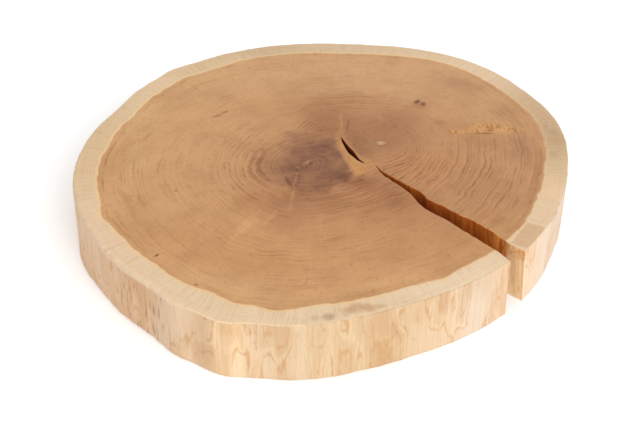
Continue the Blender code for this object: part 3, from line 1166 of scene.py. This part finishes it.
# %% Marks of the upper face
MARK_DEPTH = 8.0
MARKS = [
    # Place, half length, half width, turn, tint, strength.
    ((80.2, 94.5), 4.2, 2.6, 62, (0.36, 0.30, 0.32), 0.95),
    ((85.0, 90.5), 3.6, 2.4, 75, (0.44, 0.38, 0.38), 0.95),
    ((82.0, 89.0), 7.5, 7.5, 0, (0.80, 0.70, 0.62), 0.75),
    ((-82.5, 77.5), 3.8, 1.6, 45, (0.62, 0.50, 0.38), 0.8),
    ((-88.5, 71.5), 5.0, 2.0, 35, (0.62, 0.50, 0.38), 0.8),
    ((-113.0, -38.0), 1.4, 1.2, 0, (0.50, 0.38, 0.30), 0.9),
    ((-119.5, -118.5), 2.0, 1.1, 60, (0.30, 0.22, 0.18), 1.0),
    ((-121.5, -120.0), 1.0, 0.8, 20, (0.40, 0.32, 0.26), 0.8),
    ((-89.0, -152.0), 2.0, 0.9, -20, (0.42, 0.33, 0.26), 0.85),
    ((132.0, 43.8), 10.0, 1.1, 2, (0.62, 0.48, 0.38), 0.9),
    ((137.0, 54.0), 3.5, 1.0, 25, (0.62, 0.48, 0.38), 0.7),
    ((104.5, 45.5), 3.0, 0.9, 110, (0.62, 0.48, 0.38), 0.8),
    ((109.0, 46.5), 3.0, 0.9, 70, (0.62, 0.48, 0.38), 0.8),
    ((97.0, 62.0), 5.0, 4.0, 0, (0.84, 0.78, 0.72), 0.6),
    ((20.5, 57.0), 10.0, 1.1, 84, (0.62, 0.46, 0.38), 0.7),
    ((15.2, 62.0), 11.0, 1.0, 93, (1.22, 1.25, 1.20), 0.8),
    ((48.5, 66.0), 9.0, 0.9, 94, (1.20, 1.22, 1.22), 0.6),
    ((56.0, 101.0), 7.0, 1.2, 68, (1.14, 1.16, 1.18), 0.7),
    ((55.0, 42.0), 7.0, 1.4, 62, (1.18, 1.12, 1.10), 0.5),
    ((60.0, 55.0), 4.0, 0.9, 60, (0.66, 0.54, 0.48), 0.6),
    ((-57.0, -82.0), 26.0, 5.0, 61, (1.12, 1.15, 1.18), 0.9),
    ((-40.0, -74.0), 12.0, 2.2, 64, (1.14, 1.17, 1.18), 0.8),
    ((-34.0, -46.0), 5.0, 2.4, 60, (1.16, 1.10, 1.08), 0.6),
    ((-28.0, -34.0), 5.0, 2.6, 70, (1.14, 1.10, 0.98), 0.7),
    ((-31.0, -100.0), 20.0, 0.8, 74, (1.10, 1.12, 1.14), 0.5),
    ((3.0, -186.0), 4.6, 4.4, 0, (0.62, 0.63, 0.62), 0.8),
    ((-6.0, -187.0), 3.6, 3.6, 0, (0.76, 0.78, 0.74), 0.6),
    ((184.0, 12.0), 6.0, 4.0, 80, (0.84, 0.84, 0.80), 0.7),
    ((188.0, 46.0), 6.0, 4.0, 80, (0.86, 0.86, 0.80), 0.6),
    ((184.0, 55.0), 9.0, 2.0, 85, (0.84, 0.82, 0.78), 0.5),
    ((-9.5, 0.5), 5.0, 1.5, 50, (0.62, 0.54, 0.58), 0.8),
    ((-27.5, -25.0), 7.5, 1.5, 110, (0.58, 0.46, 0.48), 0.8),
    ((-18.5, -18.0), 3.0, 0.9, 90, (0.60, 0.50, 0.50), 0.7),
    ((16.0, -17.0), 6.0, 6.0, 0, (0.84, 0.78, 0.74), 0.6),
    ((-48.0, 16.0), 5.0, 2.0, 100, (0.72, 0.62, 0.58), 0.45),
    ((-50.0, 4.0), 4.0, 1.5, 100, (0.74, 0.64, 0.60), 0.4),
    ((-57.0, 18.0), 2.2, 1.6, 0, (0.72, 0.60, 0.54), 0.7),
    # The check itself, pale with sanding dust.
    ((-13.5, 0.5), 5.0, 2.0, 51, (1.60, 1.85, 2.00), 0.9),
    ((-20.0, -6.0), 1.8, 1.5, 80, (1.60, 1.70, 1.75), 0.9),
    ((-20.5, -14.0), 2.2, 1.7, 20, (1.70, 1.80, 1.85), 0.9),
    ((-2.0, 11.0), 7.5, 1.3, 52, (1.30, 1.36, 1.36), 0.7),
    ((-21.5, -24.0), 7.5, 1.4, 83, (1.45, 1.66, 1.80), 0.9),
    ((-23.3, -40.0), 11.0, 1.4, 86, (1.30, 1.44, 1.56), 0.9),
    ((-24.8, -57.0), 10.0, 1.4, 85, (1.16, 1.24, 1.32), 0.9),
    # The right heart's pith.
    ((47.0, 27.6), 5.0, 3.6, 0, (0.74, 0.66, 0.62), 0.6),
    ((46.8, 29.2), 3.8, 3.1, 0, (1.62, 2.20, 2.80), 1.0),
]
# Chatter of the sander: a few short dark strokes behind the stain.
MARKS += [((-17.0 + 3.1 * k, 58.5 - 1.6 * k), 10.0 - 0.9 * k, 0.75, 60 - 2 * k,
           (0.66, 0.52, 0.44), 0.75) for k in range(6)]

def marked(shader, colour, spot, marks):
    """Small oval marks on the upper face, with soft uneven edges."""
    for place, length, width, turn, tint, strength in marks:
        sockets = {"Vector": spot, "Location": place + (THICK,),
                   "Scale": (length, width, MARK_DEPTH),
                   "Rotation": (0.0, 0.0, math.radians(turn))}
        oval = shader.node("ShaderNodeMapping", {"vector_type": "TEXTURE"}, sockets)
        away = shader.node("ShaderNodeVectorMath", {"operation": "LENGTH"}, {0: oval}, "Value")
        colour = shader.tinted(colour, tint, (1.0 - away.rise(0.4, 1.3)) * strength)
    return colour


print("marks:", len(MARKS))

# %% The sawn face put together
PORE_SPACING = 0.9


def end_grain():
    """The sawn and sanded face."""
    wood = Shader("oak_end_grain")
    face = sawn_face(wood)
    heart = heartwood(wood, face)
    heart = torn_grain(wood, face, heart)
    heart = stained(wood, face, heart)
    heart = seamed(wood, face, heart)
    colour = bordered(wood, face, sapwood(wood, face), heart)
    colour = marked(wood, colour, wander(wood, face.place, 3.0, 1.6), MARKS)
    # The worn edge turns down towards the side and takes a darker, dusty colour: partly the
    # side's own colour, partly painted shade against the stronger sun on these faces.
    turned_dust_and_shade = face.z.rise(THICK - 0.15, THICK - 1.6) * face.z.rise(THICK - 9.0, THICK - 6.0)
    colour = wood.mix(colour, chart(216, 188, 160), turned_dust_and_shade * 0.75)
    pores = wood.node("ShaderNodeTexVoronoi", {}, {"Vector": face.spot,
                                                   "Scale": 1.0 / PORE_SPACING})
    pore = (1.0 - pores.rise(0.12, 0.34)) * face.part.band(0.2, 0.25)
    colour = wood.tinted(colour, (0.66, 0.58, 0.52), pore * 0.5)
    height = face.rays * 0.5 + face.speck * 0.4 - pore * 0.8 - face.early * 0.3
    return wood.finish(colour, face.speck * 0.14 + 0.50, height, 0.06)


# %% [markdown]
# ## The peeled side
#
# Under the bark the wood is pale, and a drawknife leaves it in long patches with thin brown
# bast lines between them. The lines are where a slow noise, stretched up and down, crosses
# fixed levels: such level lines close on themselves, as the edges of real patches do.

# %% Peeled side
# Where the lower side is scarred with short dark strokes, and how far they spread.
SCARRED_PLACE, SCARRED_REACH = (-126.0, -144.0), (10.0, 46.0)


def peeled_side():
    """The side under the bark."""
    wood = Shader("oak_peeled_side")
    place = wood.place()
    x, y, z = wood.split(place)
    upright = wood.join(x, y, z * 0.22)
    peel = wood.known("peel") + (wood.noise(upright, 2.0, 2.0) - 0.5) * 0.30
    thread = wood.noise(wood.join(x, y, z * 0.06), 1.5, 3.0, rough=0.65)
    fleck = wood.noise(upright, 2.1, 2.0)
    cloud = wood.noise(wood.join(x, y, z * 0.4), 22.0, 3.0)
    broken = wood.noise(place, 11.0, 2.0).rise(0.34, 0.56)
    offset = wood.join(x - SCARRED_PLACE[0], y - SCARRED_PLACE[1], 0.0)
    away = wood.node("ShaderNodeVectorMath", {"operation": "LENGTH"}, {0: offset}, "Value")
    stroke = wood.noise(wood.join(x, y, z * 0.16), 2.6, 2.0).rise(0.54, 0.68)
    scars = (1.0 - away.rise(*SCARRED_REACH)) * stroke
    colour = wood.layered(
        wood.known("side_colour", "Color"),
        ((0.91, 0.83, 0.73), peel.rise(-0.05, 0.14) * 0.6),
        # A pale line just inside each patch's edge is a painted highlight, where the raised
        # patch edge catches the light.
        ((1.11, 1.14, 1.17), peel.band(0.10, 0.11) * 0.7),
        ((0.90, 0.82, 0.73), cloud.rise(0.42, 0.64) * 0.8),
        ((0.90, 0.84, 0.77), thread.rise(0.48, 0.70) * 0.6),
        ((1.06, 1.07, 1.08), thread.rise(0.50, 0.34) * 0.5),
        ((0.84, 0.66, 0.46), peel.band(-0.05, 0.09) * broken * 0.85),
        ((0.88, 0.72, 0.54), peel.band(0.42, 0.09) * broken * 0.7),
        ((0.80, 0.62, 0.44), fleck.rise(0.66, 0.78) * 0.6),
        ((0.62, 0.50, 0.42), scars * 0.85),
    )
    height = thread * 0.7 - fleck.rise(0.66, 0.76) * 0.3 - scars * 0.5
    return wood.finish(colour, thread * 0.15 + 0.52, height, 0.25)


# %% [markdown]
# ## The walls of the crack
#
# A crack splits along the rays, so its walls show long grain: the heartwood a strong orange,
# since it never saw the sander, the sapwood pale near the mouth, and darker streaks of resin
# and dust running up and down. Further in, where the crack narrows, the heartwood darkens:
# partly its own colour, partly painted shade. The broken ledge near the mouth is golden above
# its edge, and the dark line under each lip is painted shade.

# %% Split walls
# Levels of the ledge's edge and of its lips, and the tint of the painted shade under each lip.
LEDGE_EDGE, LIPS, LIP_SHADE_TINT = (39.5, 42.5), ((40.5, 1.1), (46.5, 1.2)), (0.74, 0.60, 0.48)


def split_wall():
    """A wall of the crack or of the slit."""
    wood = Shader("oak_split_wall")
    place = wood.place()
    x, y, z = wood.split(place)
    inward = wood.known("inward") + (wood.noise(place, 6.0) - 0.5) * 3.0
    streak = wood.noise(wander(wood, wood.join(x, y, z * 0.08), 3.0, 1.0), 2.6, 3.0, rough=0.6)
    fine = wood.noise(wood.join(x, y, z * 0.05), 0.9, 2.0)
    # Further in, where the crack narrows, the heartwood darkens: partly its own colour, partly
    # painted shade.
    deep_and_shaded = wood.mix(chart(194, 108, 28), chart(166, 84, 14), streak.rise(0.36, 0.66))
    amber = wood.mix(chart(230, 152, 64), chart(178, 98, 28), streak.rise(0.44, 0.58))
    heart = wood.mix(amber, deep_and_shaded, inward.rise(6.0, 22.0))
    heart = wood.tinted(heart, (0.84, 0.74, 0.78), inward.rise(26.0, 62.0))
    ledge = z + (wood.noise(place, 8.0, 2.0) - 0.5) * 20.0
    sap = wood.mix(chart(247, 214, 168), chart(232, 192, 144), streak.rise(0.40, 0.66))
    gold = wood.mix(chart(246, 204, 146), chart(226, 174, 116), streak.rise(0.42, 0.58))
    sap = wood.mix(sap, gold, ledge.rise(*LEDGE_EDGE) * 0.9)
    # Under each lip of the ledge, a dark line of painted shade.
    sap = wood.layered(sap, *((LIP_SHADE_TINT, ledge.band(*lip) * 0.7) for lip in LIPS))
    colour = wood.layered(
        wood.mix(sap, heart, inward.rise(-3.0, 3.0)),
        ((0.82, 0.74, 0.66), fine.rise(0.5, 0.72) * 0.5),
        # The walls inside the seam's outline, the slit's and the crack's tip, are made dark:
        # painted shade of the narrow gap.
        ((0.42, 0.30, 0.28), wood.known("seam").rise(-0.5, 1.5)),
    )
    return wood.finish(colour, fine * 0.1 + 0.6, streak * 0.7 + fine * 0.5, 0.15)


# %% [markdown]
# ## Which face takes which finish
#
# One mesh can carry several materials: each face holds the number of its own. The two flat
# faces take the end grain, the rim the peeled side, and the rest the split walls. Where the
# upper edge is worn, its eased rows show end grain too, and the number of such rows falls
# off with the wear, so the strip has no hard end.

# %% Material numbers
materials = [end_grain(), peeled_side(), split_wall()]
for material in materials:
    mesh.materials.append(material)
quad_row, quad_column = np.divmod(ribbon_quads[:, 0], columns)
from_top = np.minimum(row_count - 2 - quad_row, EASE_STEPS)
worn_enough = worn[quad_column] > np.array(WORN_STARTS)[from_top]
rim_numbers = np.where(worn_enough, END_GRAIN, SIDE)
numbers = np.concatenate([
    np.where(quad_column < RIM_COLUMNS, rim_numbers, SPLIT), np.full(len(slit_quads), SPLIT),
    np.full(len(top_faces) + len(foot_faces), END_GRAIN),
])
mesh.polygons.foreach_set("material_index", numbers.astype(np.int32))
print("materials:", [m.name for m in materials], "nodes:",
      [len(m.node_tree.nodes) for m in materials])

# %% [markdown]
# ## One flat map of the slice
#
# A game or a viewer needs the colours baked to one picture, so the slice gets a UV map that
# wastes little of it: the top as a large disc, the underside as a smaller one, and the side
# and the walls as strips. Each part keeps its true shape, so nothing is stretched.

# %% UV map
DISC = 420.0
TOP_SHARE, FOOT_SHARE, STRIP_SHARE, GAP = 0.66, 0.31, 0.068, 0.012
CORNER, FOOT_CORNER = 0.004, np.array((0.68, 0.004))
LEVELS = (0.672, 0.752, 0.832)
SPARE, WALL_SPARE, SLIT_SPACE = 4.0, 200.0, 20.0


def disc_map(points, share, corner):
    """A face laid flat in the map."""
    return corner + (points[:, :2] / DISC + 0.5) * share


def strip_map(along, height, length, level):
    """A band laid in the map, one strip high."""
    u = GAP + along / length * (1.0 - 2.0 * GAP)
    v = level + height / THICK * STRIP_SHARE
    return np.stack([u, v], -1)


def band_corners(column_count, rows_of_quads):
    """Column and row of each corner of a ribbon's quads."""
    row, column = np.meshgrid(np.arange(rows_of_quads), np.arange(column_count), indexing="ij")
    row, column = row.ravel(), column.ravel()
    corners = np.stack([column, column + 1, column + 1, column], -1)
    return corners, np.stack([row, row, row + 1, row + 1], -1)


corner, level = band_corners(columns, row_count - 1)
along = run[corner]
height = heights[level, corner % columns]
half = rim_length / 2.0
on_rim = corner[:, :1] < RIM_COLUMNS
first_half = on_rim & (along[:, 1:2] <= half)
second_half = on_rim & (along[:, 1:2] > half)
walls_length = run[-1] - rim_length + WALL_SPARE
first_strip = strip_map(along, height, half + SPARE, LEVELS[0])
second_strip = strip_map(along - half + SPARE, height, half + 2.0 * SPARE, LEVELS[1])
wall_strip = strip_map(along - rim_length, height, walls_length, LEVELS[2])
ribbon_uv = np.where(first_half[..., None], first_strip,
                     np.where(second_half[..., None], second_strip, wall_strip))
corner, level = band_corners(slit_columns, row_count - 1)
slit_run = run[-1] - rim_length + SLIT_SPACE + corner
slit_uv = strip_map(slit_run, slit_heights[level, 0], walls_length, LEVELS[2])
top_uv = disc_map(vertices[top_faces.ravel()], TOP_SHARE, CORNER)
foot_uv = disc_map(vertices[foot_faces.ravel()], FOOT_SHARE, FOOT_CORNER)
uv = np.concatenate([ribbon_uv.reshape(-1, 2), slit_uv.reshape(-1, 2), top_uv, foot_uv])
uv_map = mesh.uv_layers.new(name="OFBake")
uv_map.uv.foreach_set("vector", uv.astype(np.float32).ravel())
print("UV map from", uv.min(0).round(3), "to", uv.max(0).round(3))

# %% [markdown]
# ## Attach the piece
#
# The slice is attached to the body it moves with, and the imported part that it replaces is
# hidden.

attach(slice_piece, "root")
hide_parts(NODE)
print("declared", slice_piece.name)

# %% [markdown]
# ## Floor and light
#
# A white floor and an even sky give light with hardly a shadow. One wide sun from the front
# right makes the front of the side brighter than the top, and the left of the side darker,
# which is what shows the slice's thickness.
#
# The floor glows a little, so it stays white where the slice shades it. Seen from low down,
# its far end would meet the greyer sky in a line. A glowing ring stands there instead: only
# the camera sees it, so it adds no light.

# %% Studio
SKY_LIGHT, SUN_LIGHT = 0.82, 2.35
SUN_LIFT, SUN_SWING, SUN_WIDTH = 25.0, 30.0, 50.0
FLOOR_HALF, FLOOR_DROP, FLOOR_WHITE, FLOOR_GLOW = 12.0, 0.0002, 0.94, 0.12
RING_REACH, RING_HEIGHT, RING_SIDES = 11.0, 3.5, 48


def staged(name, finish, points, faces, white, glow):
    """A plain matt thing of the studio, which isn't part of the object."""
    shape = bpy.data.meshes.new(name)
    shape.from_pydata(points, [], faces)
    thing = bpy.data.objects.new(name, shape)
    bpy.context.scene.collection.objects.link(thing)
    coat = Shader(finish)
    for socket, value in (("Base Color", (white, white, white, 1.0)), ("Roughness", 0.9),
                          ("Specular IOR Level", 0.0), ("Emission Color", (1.0,) * 4),
                          ("Emission Strength", glow)):
        coat.skin.inputs[socket].default_value = value
    shape.materials.append(coat.material)
    return thing


floor_level = low.z - FLOOR_DROP
corners = [(x * FLOOR_HALF, y * FLOOR_HALF, floor_level)
           for x, y in ((-1, -1), (1, -1), (1, 1), (-1, 1))]
floor = staged("floor", "pale_floor", corners, [(0, 1, 2, 3)], FLOOR_WHITE, FLOOR_GLOW)

turns = [2.0 * math.pi * k / RING_SIDES for k in range(RING_SIDES)]
ring_points = [(RING_REACH * math.cos(turn), RING_REACH * math.sin(turn), z)
               for z in (floor_level, RING_HEIGHT) for turn in turns]
ring_faces = [(k, (k + 1) % RING_SIDES, RING_SIDES + (k + 1) % RING_SIDES, RING_SIDES + k)
              for k in range(RING_SIDES)]
backdrop = staged("backdrop", "white_backdrop", ring_points, ring_faces, 0.0, 1.0)
for ray in ("diffuse", "glossy", "shadow", "transmission"):
    setattr(backdrop, "visible_" + ray, False)

world = bpy.data.worlds.new("studio")
world.use_nodes = True
world.node_tree.nodes["Background"].inputs["Color"].default_value = (1.0, 1.0, 1.0, 1.0)
world.node_tree.nodes["Background"].inputs["Strength"].default_value = SKY_LIGHT
bpy.context.scene.world = world

sun_data = bpy.data.lights.new("wide_sun", "SUN")
sun_data.energy = SUN_LIGHT
sun_data.angle = math.radians(SUN_WIDTH)
sun = bpy.data.objects.new("wide_sun", sun_data)
sun.rotation_euler = (math.radians(90.0 - SUN_LIFT), 0.0, math.radians(SUN_SWING))
bpy.context.scene.collection.objects.link(sun)
bpy.context.scene.view_settings.view_transform = "Standard"
print("sky", SKY_LIGHT, "sun", SUN_LIGHT)
